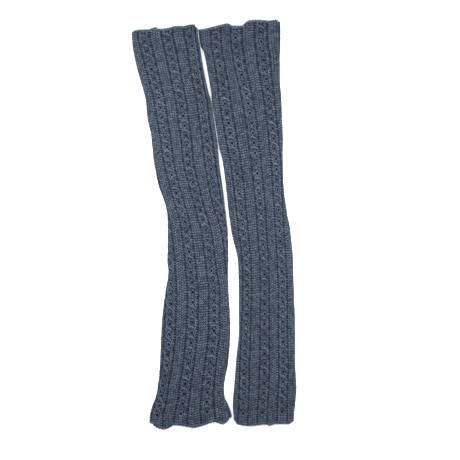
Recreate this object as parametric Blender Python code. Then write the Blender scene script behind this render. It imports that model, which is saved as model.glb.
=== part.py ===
"""Pair of cable-knit leg warmers, laid flat side by side and seen from above.

Each leg warmer is one tube, knitted in the round: six repeats of a three-stitch rib, a purl
trough and a column of mock cable, with a plain band at the cast-on and at the bind-off. It has
no seams. Lying down, its front layer rests on its back layer, with soft folds down both sides.

Metres, +Z up, +Y towards the thigh end. The origin is on the surface the pair lies on, under
the middle of its outline.
"""
import math
from bisect import bisect_right

import bmesh
import bpy

for leftover in list(bpy.data.objects):
    bpy.data.objects.remove(leftover, do_unlink=True)

MM = 0.001
OUTLINE_MIDDLE = (1.1, -1.25)    # mm, middle of the pair's outline on the tables' x and y

# The cloth, in millimetres
BACK_WALL = 2.8
FRONT_WALL = 2.8         # at the foot of the purl troughs
RELIEF = 2.0             # from a purl trough up to the crown of a rib
SLIT = 1.0               # air left between front and back
FOLD_REACH = 5.5         # how far in from the outline a side fold starts to round down
FOLD_WALL = 4.8          # from the outline in to the end of the slit
FOLD_RELIEF = 0.25       # share of the relief that is left where a rib or trough turns a fold
EDGE_LIP = 0.7           # how far the cast-on and bind-off edges are rounded down
LAID_HEIGHT = BACK_WALL + SLIT + FRONT_WALL + RELIEF
PUFF = 1.6               # how far the front lifts off the back between the side folds

# The knitting
REPEATS_ROUND = 6
CELLS = 39               # eyelets down one mock cable
FOOT_BAND = 15.7         # mm, plain rows below the first cell
THIGH_BAND = 4.8         # mm, plain rows above the last cell
BAND_ROW = 3.5           # mm, from each end to a row of outer points in those bands
CABLE_SLANT = 1.4        # mm, the wrap of a cell runs down from left to right
CELL_ROWS = {"eyelet": 0.17, "closing": 0.42, "wrap": 0.67}    # how far up a cell they lie
INNER_ROWS = 22

# One repeat: how many mm its points lie from the middle of a mock cable, on a repeat of
# REPEAT_WIDTH up to the next cable. They stretch with the cloth, and a wrap gathers its cable.
# The last columns are their depths in mm below a rib's crown.
REPEAT_WIDTH = 33.0
REPEAT_COLUMNS = ("place", "place_at_wrap", "cable_side", "eyelet", "closing", "wrap")
REPEAT_POINTS = (
    (0.0, 0.0, 0, 1.6, 0.6, 0.0),
    (6.4, 5.2, 1, 0.2, 0.5, 1.2),
    (8.2, 7.6, 0, 2.0, 2.0, 2.0),
    (9.4, 9.4, 0, 0.4, 0.4, 0.4),
    (16.5, 16.5, 0, 0.0, 0.0, 0.0),
    (23.6, 23.6, 0, 0.4, 0.4, 0.4),
    (24.8, 25.4, 0, 2.0, 2.0, 2.0),
    (26.6, 27.8, -1, 0.2, 0.5, 1.2),
)
REPEAT = [dict(zip(REPEAT_COLUMNS, row)) for row in REPEAT_POINTS]

# Sections from the foot of each leg warmer up, in mm: the height along +Y, the outline's left
# and right edge, and where four neighbouring cables cross the front, or would if it were
# unrolled. The left tube turns by about one rib on its way down.
SECTION_COLUMNS = ("height", "left", "right", "cable_0", "cable_1", "cable_2", "cable_3")
LEFT_SECTIONS = (
    (-314, -100.4, 28.8, -91, -53, -9, 38),
    (-292, -95.7, 23.2, -86, -50, -11, 35),
    (-276, -91.0, 18.0, -83, -47, -10, 31),
    (-263, -88.5, 17.2, -81, -46, -9, 29),
    (-225, -85.0, 21.9, -74, -40, -5, 31),
    (-167, -82.2, 26.4, -70, -34, 1, 36),
    (-110, -76.3, 24.6, -68, -33, 1, 36),
    (-76, -71.2, 23.4, -69, -36, -3, 29),
    (-61, -72.8, 24.2, -70, -37, -5, 27),
    (-14, -72.3, 23.0, -75, -43, -11, 21),
    (10, -72.8, 20.6, -80, -47, -18, 14),
    (25, -75.0, 18.9, -84, -52, -22, 8),
    (63, -87.4, 14.1, -94, -63, -32, 0),
    (102, -95.0, 8.8, -105, -72, -41, -6),
    (140, -98.4, 5.0, -110, -77, -44, -11),
    (198, -106.9, -3.6, -121, -87, -52, -19),
    (256, -123.5, -17.0, -138, -101, -64, -30),
    (284, -128.6, -21.4, -145, -108, -70, -34),
    (304, -130.2, -24.4, -150, -112, -74, -38),
)
RIGHT_SECTIONS = (
    (-314, 33.4, 127.4, 16, 47, 78, 110),
    (-292, 31.6, 129.8, 16, 48, 79, 110),
    (-263, 32.8, 132.0, 18, 49, 81, 111),
    (-225, 35.7, 130.2, 19, 50, 82, 112),
    (-167, 40.8, 129.9, 22, 52, 82, 111),
    (-110, 40.5, 128.2, 25, 54, 82, 111),
    (-61, 39.0, 126.7, 25, 53, 81, 109),
    (-14, 29.8, 122.6, 18, 48, 78, 106),
    (25, 23.4, 115.7, 13, 44, 76, 104),
    (63, 19.5, 111.2, 8, 40, 72, 102),
    (102, 13.9, 110.1, 2, 35, 68, 100),
    (140, 5.5, 110.3, -7, 28, 64, 96),
    (198, -3.1, 107.7, -17, 18, 55, 89),
    (227, -6.9, 105.6, -20, 15, 48, 85),
    (256, -12.0, 105.4, -23, 10, 40, 81),
    (275, -16.2, 106.0, -25, 6, 38, 79),
    (284, -20.9, 106.2, -27, 5, 36, 77),
    (304, -23.9, 106.4, -30, 4, 35, 76),
)

# How far the rows are drawn up the leg, in mm, over a length that is counted from the foot
RISE_COLUMNS = ("along", "rise")
LEFT_RISES = (
    (0, 0), (49, 0), (110, 2.7), (172, 5.3), (218, 6.4), (294, 9.0), (325, 9.9), (401, 4.8),
    (447, 3.5), (524, 3.8), (600, 0), (618, 0),
)
RIGHT_RISES = (
    (0, 0), (172, 0), (264, 0.8), (325, 2.4), (386, 3.9), (447, 5.6), (524, 4.5), (600, 0),
    (618, 0),
)

# How far each end reaches along +Y across the front, from left to right, in mm
END_COLUMNS = ("x", "reach")
LEFT_THIGH_END = (
    (-130, 301), (-124, 308), (-103, 310), (-94, 313.5), (-86, 310.5), (-73, 312),
    (-58, 315.5), (-47, 315), (-38, 317.5), (-30, 318), (-25, 311),
)
LEFT_FOOT_END = (
    (-100, -314), (-91, -325), (-79, -327.5), (-63, -320.5), (-39, -324), (-33, -326),
    (-20, -323), (3, -315), (15, -320), (22, -316), (28, -306),
)
RIGHT_THIGH_END = (
    (-24, 307), (-12, 311.5), (12, 317.5), (23, 319.5), (31, 315.5), (45, 315.5),
    (54, 323.5), (62, 325), (75, 325), (90, 323.5), (100, 325), (106, 320),
)
RIGHT_FOOT_END = (
    (32, -307), (38, -320), (58, -323.5), (84, -321), (90, -323), (100, -320),
    (122, -320), (129, -308),
)
BACK_SHORTER = 1.5       # mm, the back layer's ends stay just inside the front's

# The largest soft creases pressed into the front layer: from one end to the other, in mm
CREASE_COLUMNS = ("x_from", "y_from", "x_to", "y_to", "half_width", "depth")
LEFT_CREASES = (
    (-69, 14, -61, -50, 7, 1.5),
    (-61, -50, -56, -108, 7, 1.2),
    (-92, 146, -10, 142, 12, 1.0),
    (8, -262, 6, -310, 7, 1.3),
)
RIGHT_CREASES = (
    (45, -168, 124, -170, 10, 1.2),
    (28, 304, 31, 262, 8, 1.3),
    (66, 92, 92, 58, 14, 0.8),
    (42, -222, 110, -228, 10, 0.7),
)

LEGS = {
    "leg_warmer_left": {
        "sections": LEFT_SECTIONS, "rises": LEFT_RISES, "creases": LEFT_CREASES,
        "thigh_end": LEFT_THIGH_END, "foot_end": LEFT_FOOT_END,
    },
    "leg_warmer_right": {
        "sections": RIGHT_SECTIONS, "rises": RIGHT_RISES, "creases": RIGHT_CREASES,
        "thigh_end": RIGHT_THIGH_END, "foot_end": RIGHT_FOOT_END,
    },
}


def between(stations, values, at):
    """Smooth value between stations, which never swings past the values on either side."""
    last = len(stations) - 1
    at = min(max(at, stations[0]), stations[last])
    low = min(bisect_right(stations, at) - 1, last - 1)

    def slope(index):
        if index in (0, last):
            return 0.0
        before = (values[index] - values[index - 1]) / (stations[index] - stations[index - 1])
        after = (values[index + 1] - values[index]) / (stations[index + 1] - stations[index])
        return 2 * before * after / (before + after) if before * after > 0 else 0.0

    span = stations[low + 1] - stations[low]
    t = (at - stations[low]) / span
    start = values[low] * (1 + 2 * t) * (1 - t) ** 2 + slope(low) * span * t * (1 - t) ** 2
    end = values[low + 1] * (3 - 2 * t) * t ** 2 - slope(low + 1) * span * (1 - t) * t ** 2
    return start + end


def section(leg, height):
    """The leg's section values at one height, by column name."""
    columns = list(zip(*leg["sections"]))
    values = {}
    for name, column in zip(SECTION_COLUMNS[1:], columns[1:]):
        values[name] = between(columns[0], column, height)
    return values


def reach(end, x):
    """How far an end of the leg reaches along +Y at a place across it."""
    columns = dict(zip(END_COLUMNS, zip(*end)))
    return between(columns["x"], columns["reach"], x)


def cable_places(cut):
    return [cut[name] for name in SECTION_COLUMNS[3:]]


def front_place(cut, turn):
    """Unrolled x of a place around the tube, counted in repeats from cable 0."""
    cables = cable_places(cut)
    first = min(max(int(math.floor(turn)), 0), len(cables) - 2)
    return cables[first] + (turn - first) * (cables[first + 1] - cables[first])


def front_turn(cut, x):
    """Place around the tube, in repeats, of an unrolled x: the inverse of front_place."""
    cables = cable_places(cut)
    first = min(max(bisect_right(cables, x) - 1, 0), len(cables) - 2)
    return first + (x - cables[first]) / (cables[first + 1] - cables[first])


def quarter_arc(across, up):
    """Length of a quarter of an ellipse."""
    return math.pi / 2 * math.sqrt((across ** 2 + up ** 2) / 2)


def tube_section(left, right, low, high, fold, side, share):
    """Point and outward normal on a flattened tube's section, as (x, z), (nx, nz).

    The front runs from the left fold's outermost line over the top to the right one, and the
    back runs from there underneath to the left again. share is how far along its side it is.
    """
    half = (high - low) / 2
    quarter = quarter_arc(fold, half)
    flat = right - left - 2 * fold
    along = share * (flat + 2 * quarter)
    if along < quarter:
        angle = along / quarter * math.pi / 2
        centre, nx, nz = left + fold, -math.cos(angle), math.sin(angle)
    elif along > quarter + flat:
        angle = (along - quarter - flat) / quarter * math.pi / 2
        centre, nx, nz = right - fold, math.sin(angle), math.cos(angle)
    else:
        centre, nx, nz = left + fold + along - quarter, 0.0, 1.0
    x = centre + fold * nx
    if side == "back":
        x, nx, nz = left + right - x, -nx, -nz
    return (x, low + half + half * nz), (nx, nz)


def around(cut, turn):
    """Side of the tube that a place around it lies on in a section, and its share along it."""
    spare = quarter_arc(FOLD_REACH, LAID_HEIGHT / 2) - FOLD_REACH
    from_turn = front_turn(cut, cut["left"] - spare)
    to_turn = front_turn(cut, cut["right"] + spare)
    turn = from_turn + (turn - from_turn) % REPEATS_ROUND
    if turn <= to_turn:
        front_width = cut["right"] - cut["left"] + 2 * spare
        return "front", (front_place(cut, turn) - cut["left"] + spare) / front_width
    return "back", (turn - to_turn) / (from_turn + REPEATS_ROUND - to_turn)


def lift(leg, cut, x, height):
    """How far the front layer stands off the back there, less the creases pressed into it."""
    share = (x - cut["left"]) / (cut["right"] - cut["left"])
    share = min(max(share, 0.0), 1.0)
    puff = PUFF * math.sin(math.pi * share)
    pressed = 0.0
    for row in leg["creases"]:
        crease = dict(zip(CREASE_COLUMNS, row))
        run_x = crease["x_to"] - crease["x_from"]
        run_y = crease["y_to"] - crease["y_from"]
        along = (x - crease["x_from"]) * run_x + (height - crease["y_from"]) * run_y
        along = min(max(along / (run_x ** 2 + run_y ** 2), 0.0), 1.0)
        away = math.hypot(x - crease["x_from"] - along * run_x,
                          height - crease["y_from"] - along * run_y)
        pressed = max(pressed, crease["depth"] * math.exp(-(away / crease["half_width"]) ** 2))
    return max(puff - pressed, 0.0)


def end_heights(leg, turn):
    """Where one line of stitches begins and ends along +Y."""
    heights = []
    for end, start in (("foot_end", leg["sections"][0][0]), ("thigh_end", leg["sections"][-1][0])):
        cut = section(leg, start)
        side, share = around(cut, turn)
        (x, _), (_, nz) = tube_section(cut["left"], cut["right"], 0, LAID_HEIGHT, FOLD_REACH,
                                       side, share)
        inward = math.copysign(BACK_SHORTER, -start) * max(-nz, 0.0)
        heights.append(reach(leg[end], x) + inward)
    return heights


def row_height(leg, ends, share):
    """Height along +Y of a row, at its share of the way between a line's ends."""
    columns = dict(zip(RISE_COLUMNS, zip(*leg["rises"])))
    rise = between(columns["along"], columns["rise"], share * columns["along"][-1])
    return ends[0] + (ends[1] - ends[0]) * share + rise


def in_part(x, y, z):
    """A point of the tables' frame, in the part's frame and in metres."""
    return ((x - OUTLINE_MIDDLE[0]) * MM, (y - OUTLINE_MIDDLE[1]) * MM, z * MM)


def outer_point(leg, ends, point, repeat, row):
    """A point of the tube's outside, in metres."""
    height = row_height(leg, ends, row["share"])
    place = point["place"]
    if row["kind"] == "wrap":
        height -= CABLE_SLANT * point["cable_side"]
        place = point["place_at_wrap"]
    cut = section(leg, height)
    side, share = around(cut, repeat + place / REPEAT_WIDTH)
    (x, z), (nx, nz) = tube_section(cut["left"], cut["right"], 0, LAID_HEIGHT, FOLD_REACH,
                                    side, share)
    depth = point.get(row["kind"], point["closing"])
    if row["kind"] == "edge":
        depth += EDGE_LIP
    depth *= min(max(FOLD_RELIEF + nz * (1.0 - FOLD_RELIEF if nz > 0 else 1.0), 0.0), 1.0)
    x -= depth * nx
    z -= depth * nz
    if nz > 0:
        z += lift(leg, cut, x, height) * nz
    return in_part(x, height, z)


def inner_point(leg, ends, point, repeat, share_up):
    """A point of the slit between the front and the back layer, in metres."""
    height = row_height(leg, ends, share_up)
    cut = section(leg, height)
    side, share = around(cut, repeat + point["place"] / REPEAT_WIDTH)
    top = BACK_WALL + SLIT
    (x, z), (_, nz) = tube_section(cut["left"] + FOLD_WALL, cut["right"] - FOLD_WALL,
                                   BACK_WALL, top, SLIT / 2, side, share)
    if side == "front":
        z += lift(leg, cut, x, height) * max(nz, 0.0)
    return in_part(x, height, z)


def knitting_rows(length):
    """The rows of outer points from the foot end up, as shares of the leg's length."""
    rows = [{"kind": "edge", "share": 0.0}]
    rows.append({"kind": "plain", "share": BAND_ROW / length})
    rows.append({"kind": "plain", "share": (FOOT_BAND - BAND_ROW) / length})
    cell = (length - FOOT_BAND - THIGH_BAND) / CELLS
    for number in range(CELLS):
        for kind, share in CELL_ROWS.items():
            rows.append({"kind": kind, "share": (FOOT_BAND + cell * (number + share)) / length})
    rows.append({"kind": "plain", "share": 1.0 - BAND_ROW / length})
    rows.append({"kind": "edge", "share": 1.0})
    return rows


def bridge(mesh, rings, outward):
    """Quads between neighbouring closed rings of points, facing out or into the slit."""
    for lower, upper in zip(rings, rings[1:]):
        for index, corner in enumerate(lower):
            after = (index + 1) % len(lower)
            face = [corner, lower[after], upper[after], upper[index]]
            mesh.faces.new(face if outward else face[::-1])


def close_end(mesh, outer, inner, upwards):
    """The knitted edge: a triangle and a quad from each slit point to two outer points."""
    for index, corner in enumerate(inner):
        first, second = outer[2 * index], outer[2 * index + 1]
        third = outer[(2 * index + 2) % len(outer)]
        following = inner[(index + 1) % len(inner)]
        for face in ([first, corner, second], [second, corner, following, third]):
            mesh.faces.new(face[::-1] if upwards else face)


def leg_warmer(name, leg, material):
    """One knitted tube, ribs and mock cables raised outside and plain inside."""
    strands = [(repeat, point) for repeat in range(REPEATS_ROUND) for point in REPEAT]
    ends = [end_heights(leg, repeat + point["place"] / REPEAT_WIDTH) for repeat, point in strands]
    length = leg["sections"][-1][0] - leg["sections"][0][0]

    mesh = bmesh.new()
    outer = []
    for row in knitting_rows(length):
        outer.append([mesh.verts.new(outer_point(leg, end, point, repeat, row))
                      for end, (repeat, point) in zip(ends, strands)])
    inner = []
    for number in range(INNER_ROWS + 1):
        inner.append([mesh.verts.new(inner_point(leg, end, point, repeat, number / INNER_ROWS))
                      for end, (repeat, point) in zip(ends[::2], strands[::2])])
    bridge(mesh, outer, outward=True)
    bridge(mesh, inner, outward=False)
    close_end(mesh, outer[0], inner[0], upwards=False)
    close_end(mesh, outer[-1], inner[-1], upwards=True)

    underside = [vert for vert in mesh.verts if abs(vert.co.z) < 1e-7]
    flat_edges = [edge for edge in mesh.edges if all(abs(v.co.z) < 1e-7 for v in edge.verts)]
    bmesh.ops.dissolve_limit(mesh, angle_limit=math.radians(0.1), verts=underside,
                             edges=flat_edges, delimit=set())
    bmesh.ops.triangulate(mesh, faces=mesh.faces[:])

    data = bpy.data.meshes.new(name)
    mesh.to_mesh(data)
    mesh.free()
    data.materials.append(material)
    data.shade_smooth()
    obj = bpy.data.objects.new(name, data)
    bpy.context.scene.collection.objects.link(obj)
    return obj


def knitted_wool():
    """Heathered steel-blue wool."""
    material = bpy.data.materials.new("knitted_wool")
    material.use_nodes = True
    shader = material.node_tree.nodes["Principled BSDF"]
    shader.inputs["Base Color"].default_value = (0.072, 0.093, 0.128, 1.0)
    shader.inputs["Roughness"].default_value = 0.95
    shader.inputs["Metallic"].default_value = 0.0
    return material


wool = knitted_wool()
for leg_name, leg_sizes in LEGS.items():
    leg_warmer(leg_name, leg_sizes, wool)
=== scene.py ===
"""Pair of cable-knit leg warmers, laid flat side by side: the looks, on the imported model.

Blender's objects are in metres. The knitting is worked out in millimetres, on tables whose
frame is OUTLINE_MIDDLE away from the model's, and in_model turns the one into the other.
"""
import math

import bpy
import numpy as np
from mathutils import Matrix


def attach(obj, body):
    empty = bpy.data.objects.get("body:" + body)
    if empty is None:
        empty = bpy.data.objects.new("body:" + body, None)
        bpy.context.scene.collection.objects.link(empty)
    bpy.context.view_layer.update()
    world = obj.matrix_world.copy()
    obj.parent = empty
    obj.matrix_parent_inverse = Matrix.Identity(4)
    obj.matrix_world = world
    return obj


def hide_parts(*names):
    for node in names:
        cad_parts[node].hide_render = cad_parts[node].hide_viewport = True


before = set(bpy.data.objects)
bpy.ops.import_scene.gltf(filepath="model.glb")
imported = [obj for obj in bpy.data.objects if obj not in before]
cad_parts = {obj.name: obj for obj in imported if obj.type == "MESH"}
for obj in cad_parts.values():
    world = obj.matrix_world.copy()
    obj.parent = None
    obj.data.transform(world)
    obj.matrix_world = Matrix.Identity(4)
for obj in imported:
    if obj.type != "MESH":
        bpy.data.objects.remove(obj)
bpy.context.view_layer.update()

# The view: the pair lies on a white table and is seen from straight above, with the camera
# 3 m up, so that the tubes' sides don't show. Soft light comes from all round, and more of it
# from a panel on either side, close enough for the light to fall off towards the tubes' ends.
CAMERA_HEIGHT = 3.0
SEEN_LEVEL = 0.008                  # the fronts' height above the table
VIEW_MIDDLE = (0.0254, -0.00915)    # what the middle of the picture looks at
VIEW_WIDTH = 0.736
SENSOR_WIDTH = 36.0                 # mm
TABLE_SIZE = 40.0
TABLE_LEVEL = -0.0003
TABLE_WHITE = (0.86, 0.86, 0.86, 1.0)
TABLE_GLOW = 0.85                   # keeps the narrow gap between the tubes white
TABLE_ROUGHNESS = 0.9
TABLE_SPECULAR = 0.1
SKY_WHITE = (1.0, 1.0, 1.0, 1.0)
SKY_STRENGTH = 0.17
PANELS = {
    "panel_left": {"place": (-0.45, 0.11, 0.40), "size": 0.4, "watts": 6.2},
    "panel_right": {"place": (0.52, 0.01, 0.42), "size": 0.4, "watts": 6.6},
}


def table_mesh():
    """A plain square, facing up."""
    half = TABLE_SIZE / 2
    corners = [(-half, -half), (half, -half), (half, half), (-half, half)]
    data = bpy.data.meshes.new("table")
    data.from_pydata([(x, y, TABLE_LEVEL) for x, y in corners], [], [(0, 1, 2, 3)])
    return data


def add_to_scene(name, data):
    """An object with these data, at the origin of the scene."""
    made = bpy.data.objects.new(name, data)
    bpy.context.scene.collection.objects.link(made)
    return made


camera = add_to_scene("camera", bpy.data.cameras.new("camera"))
camera.location = (*VIEW_MIDDLE, SEEN_LEVEL + CAMERA_HEIGHT)
camera.data.sensor_width = SENSOR_WIDTH
camera.data.lens = SENSOR_WIDTH * CAMERA_HEIGHT / VIEW_WIDTH
bpy.context.scene.camera = camera
bpy.context.scene.view_settings.view_transform = "Standard"

table = add_to_scene("table", table_mesh())
table_white = bpy.data.materials.new("table_white")
table_white.use_nodes = True
table_shader = table_white.node_tree.nodes["Principled BSDF"]
table_shader.inputs["Base Color"].default_value = TABLE_WHITE
table_shader.inputs["Roughness"].default_value = TABLE_ROUGHNESS
table_shader.inputs["Specular IOR Level"].default_value = TABLE_SPECULAR
table_shader.inputs["Emission Color"].default_value = SKY_WHITE
table_shader.inputs["Emission Strength"].default_value = TABLE_GLOW
table.data.materials.append(table_white)

sky = bpy.data.worlds.new("sky")
sky.use_nodes = True
sky.node_tree.nodes["Background"].inputs["Color"].default_value = SKY_WHITE
sky.node_tree.nodes["Background"].inputs["Strength"].default_value = SKY_STRENGTH
bpy.context.scene.world = sky
for panel_name, panel in PANELS.items():
    lamp = add_to_scene(panel_name, bpy.data.lights.new(panel_name, "AREA"))
    lamp.data.size = panel["size"]
    lamp.data.energy = panel["watts"]
    lamp.location = panel["place"]
    lamp.rotation_euler = (-lamp.location).to_track_quat("-Z", "Y").to_euler()

# The cloth of the left leg warmer: one tube of steel-blue wool, knitted in the round with six
# repeats of rib, purl trough and mock cable, without a seam. It lies flat, front on back, and
# this is the ground that its stitches stand on, with its troughs, eyelet pits and creases.
MM = 0.001               # m. The sizes below are in mm, apart from counts and shares.
OUTLINE_MIDDLE = (1.1, -1.25)
BACK_WALL = 2.8
FRONT_WALL = 2.8
RELIEF = 2.0             # how far a rib's crown stands out from the front wall
SLIT = 1.0               # between the layers, before they are puffed and creased
FOLD_REACH = 5.5         # how far in from a tube's side its fold is round
FOLD_WALL = 4.8          # from a tube's side in to the slit
FOLD_RELIEF = 0.1        # share of the relief that is left where it turns a side fold
FOLD_FULLNESS = 0.6      # how far the folded yarn stands out there, beside the other tube
FREE_FULLNESS = 1.9      # and on the side where nothing lies
FOLD_FILLED = 0.8        # how much further the ground behind the yarn is pushed out there
BACK_RELIEF = 0.45       # share of the relief on the underside, where the cloth is pressed flat
BACK_SHORTER = 1.5       # how far in from the front's ends the back ends
EDGE_LIP = 0.7           # how much the ground thins at both ends
LAID_HEIGHT = BACK_WALL + SLIT + FRONT_WALL + RELIEF
PUFF = 1.6               # how much more the front stands off the back along its middle
FRONT_SINK = 0.7         # how far creases can press the front towards the back
REPEATS_ROUND = 6
REPEAT_WIDTH = 33.0      # of one repeat on the chart, which stretches with the cloth
CELLS = 39               # along each mock cable
ROWS_IN_CELL = 4
FOOT_BAND = 15.7         # plain rows below the mock cables
THIGH_BAND = 4.8         # and above them
EYELET_SHARE = 0.17      # share of a cell that lies below its eyelet's row
YARN_DEPTH = 1.2         # from the crown of a rib down to the middle of its yarn
EYELET_PIT = 2.4         # how far the ground drops under an eyelet
PIT_RIM = 0.6            # and beside it
INNER_ROWS = 60          # of faces along the slit

SECTION_COLUMNS = ("height", "left", "right", "cable_0", "cable_1", "cable_2", "cable_3")
LEFT_SECTIONS = (
    (-314, -101.6, 30.2, -91, -53, -9, 38),
    (-292, -96.8, 24.8, -86, -50, -11, 35),
    (-276, -91.0, 18.0, -83, -47, -10, 31),
    (-263, -88.5, 17.2, -81, -46, -9, 29),
    (-225, -84.6, 23.3, -74, -40, -5, 31),
    (-167, -82.2, 27.4, -70, -34, 1, 36),
    (-110, -76.3, 24.6, -68, -33, 1, 36),
    (-76, -71.2, 23.4, -69, -36, -3, 29),
    (-61, -72.8, 24.2, -70, -37, -5, 27),
    (-14, -72.3, 23.0, -75, -43, -11, 21),
    (10, -72.8, 20.6, -80, -47, -18, 14),
    (25, -75.0, 18.9, -84, -52, -22, 8),
    (63, -87.4, 14.1, -94, -63, -32, 0),
    (102, -95.0, 8.8, -105, -72, -41, -6),
    (127, -97.6, 7.0, -108, -75, -43, -9),
    (140, -98.9, 5.2, -110, -77, -44, -11),
    (168, -104.8, 0.9, -116, -82, -48, -15),
    (198, -107.9, -3.8, -121, -87, -52, -19),
    (207, -109.9, -6.9, -123, -89, -54, -21),
    (256, -123.5, -17.0, -138, -101, -64, -30),
    (284, -128.6, -21.4, -145, -108, -70, -34),
    (304, -130.2, -24.4, -150, -112, -74, -38),
)
RISE_COLUMNS = ("along", "rise")
LEFT_RISES = (
    (0, 0), (49, 0), (110, 2.7), (172, 5.3), (218, 6.4), (294, 9.0), (325, 9.9), (401, 4.8),
    (447, 3.5), (524, 3.8), (600, 0), (618, 0),
)
END_COLUMNS = ("x", "reach")
LEFT_THIGH_END = (
    (-130, 306), (-126, 309), (-103, 310), (-94, 313.5), (-86, 310.5), (-73, 312),
    (-58, 315.5), (-47, 315), (-38, 317.5), (-30, 318), (-25, 311),
)
LEFT_FOOT_END = (
    (-101, -319), (-91, -326), (-79, -329), (-63, -322), (-39, -325), (-33, -326.5),
    (-20, -324), (3, -317), (15, -321), (22, -317.5), (30, -309),
)
CREASE_COLUMNS = ("x_from", "y_from", "x_to", "y_to", "half_width", "depth")
LEFT_CREASES = (
    (-69, 14, -61, -50, 7, 1.6),
    (-61, -50, -56, -108, 7, 1.4),
    (-67, -46, -68, -82, 4, 1.6),
    (-14, 172, -6, 120, 9, 1.5),
    (-92, 146, -10, 142, 12, 1.0),
    (-50, 62, -22, 36, 10, 0.9),
    (-20, -150, 14, -182, 11, 0.9),
    (8, -262, 6, -310, 7, 1.3),
)
LEFT_BACK_CREASES = (
    (-88, 96, -40, 74, 11, 0.6),
    (-58, -2, -50, -92, 8, 0.7),
    (-36, -196, 8, -222, 10, 0.5),
)
LEFT_LEG = {
    "sections": LEFT_SECTIONS, "rises": LEFT_RISES, "free_side": -1,
    "creases": LEFT_CREASES, "back_creases": LEFT_BACK_CREASES,
    "thigh_end": LEFT_THIGH_END, "foot_end": LEFT_FOOT_END,
}

# One repeat of the ground, in mm from a mock cable's middle to the next one's, as in the
# solids but finer. hollow is painted shade: how far a place is darkened between the stitches.
GROUND_COLUMNS = ("place", "place_at_wrap", "depth", "painted_shade")
GROUND_POINTS = (
    (0.0, 0.0, 1.9, 0.9),
    (2.8, 2.2, 1.9, 0.9),
    (5.4, 4.5, 1.8, 0.9),
    (7.8, 7.0, 2.5, 0.95),
    (8.7, 8.1, 3.3, 0.96),
    (9.6, 9.3, 2.7, 0.96),
    (12.9, 12.9, 1.9, 0.97),
    (16.5, 16.5, 1.8, 0.97),
    (20.1, 20.1, 1.9, 0.97),
    (23.4, 23.7, 2.7, 0.96),
    (24.3, 24.9, 3.3, 0.96),
    (25.2, 26.0, 2.5, 0.95),
    (27.6, 28.5, 1.8, 0.9),
    (30.2, 30.8, 1.9, 0.9),
)
CABLE_MIDDLE_POINT = 0
CABLE_INNER_POINTS = (1, len(GROUND_POINTS) - 1)
GATHERED_AT_ROWS = (0.0, 0.5, 1.0, 0.5)             # share of place_at_wrap, from an eyelet up
GATHERED_ABOVE_ROWS = (0.25, 0.75, 0.75, 0.25)      # and half a row above each of them
GATHERED_IN_BANDS = 0.5
PITTED_BESIDE_EYELET = 0.35     # share of an eyelet's pit, in depth and in painted shade, left half a row away
# Painted shade on the faces of the slit inside the tube.
SLIT_PAINTED_SHADE = 0.5


def between(stations, values, at):
    """Smooth values between stations, which never swing past the values on either side."""
    stations = np.array(stations, dtype=float)
    values = np.array(values, dtype=float)
    at = np.clip(at, stations[0], stations[-1])
    low = np.clip(np.searchsorted(stations, at, side="right") - 1, 0, len(stations) - 2)
    rise = np.diff(values) / np.diff(stations)
    same_way = rise[:-1] * rise[1:] > 0
    slope = np.zeros(len(values))
    slope[1:-1][same_way] = 2 * (rise[:-1] * rise[1:])[same_way] / (rise[:-1] + rise[1:])[same_way]
    span = stations[low + 1] - stations[low]
    t = (at - stations[low]) / span
    start = values[low] * (1 + 2 * t) * (1 - t) ** 2 + slope[low] * span * t * (1 - t) ** 2
    end = values[low + 1] * (3 - 2 * t) * t ** 2 - slope[low + 1] * span * (1 - t) * t ** 2
    return start + end


def section(leg, height):
    """The leg's section values at some heights, by column name."""
    columns = list(zip(*leg["sections"]))
    cut = {}
    for name, column in zip(SECTION_COLUMNS[1:], columns[1:]):
        cut[name] = between(columns[0], column, height)
    return cut


def cable_pair(cut, first):
    """The places of a cable and of the one after it."""
    cables = np.stack([cut[name] for name in SECTION_COLUMNS[3:]])
    which = np.arange(len(first))
    return cables[first, which], cables[first + 1, which]


def front_turn(cut, x):
    """Place around the tube, in repeats from cable 0, of an unrolled x."""
    first = (x >= cut["cable_1"]).astype(int) + (x >= cut["cable_2"])
    here, after = cable_pair(cut, first)
    return first + (x - here) / (after - here)


def quarter_arc(across, up):
    """Length of a quarter of an ellipse."""
    return math.pi / 2 * math.sqrt((across ** 2 + up ** 2) / 2)


def tube_section(left, right, low, high, fold, front, share):
    """Points and outward normals on a flattened tube's section, as x, z, nx and nz."""
    half = (high - low) / 2
    quarter = quarter_arc(fold, half)
    flat = right - left - 2 * fold
    along = share * (flat + 2 * quarter)
    from_left = np.clip(along / quarter, 0, 1)
    to_right = np.clip((along - quarter - flat) / quarter, 0, 1)
    nx = np.sin(to_right * math.pi / 2) - np.cos(from_left * math.pi / 2)
    nz = np.minimum(np.sin(from_left * math.pi / 2), np.cos(to_right * math.pi / 2))
    x = left + fold + np.clip(along - quarter, 0, flat) + fold * nx
    side = np.where(front, 1.0, -1.0)
    x = np.where(front, x, left + right - x)
    return x, low + half + half * nz * side, nx * side, nz * side


def around(cut, turn):
    """Whether a place around the tube is on its front, and its share along front or back."""
    spare = quarter_arc(FOLD_REACH, LAID_HEIGHT / 2) - FOLD_REACH
    from_turn = front_turn(cut, cut["left"] - spare)
    to_turn = front_turn(cut, cut["right"] + spare)
    turn = from_turn + (turn - from_turn) % REPEATS_ROUND
    front = turn <= to_turn
    first = np.clip(np.floor(turn), 0, 2).astype(int)
    here, after = cable_pair(cut, first)
    unrolled = here + (turn - first) * (after - here)
    on_front = (unrolled - cut["left"] + spare) / (cut["right"] - cut["left"] + 2 * spare)
    on_back = (turn - to_turn) / (from_turn + REPEATS_ROUND - to_turn)
    return front, np.where(front, on_front, on_back)


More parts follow.
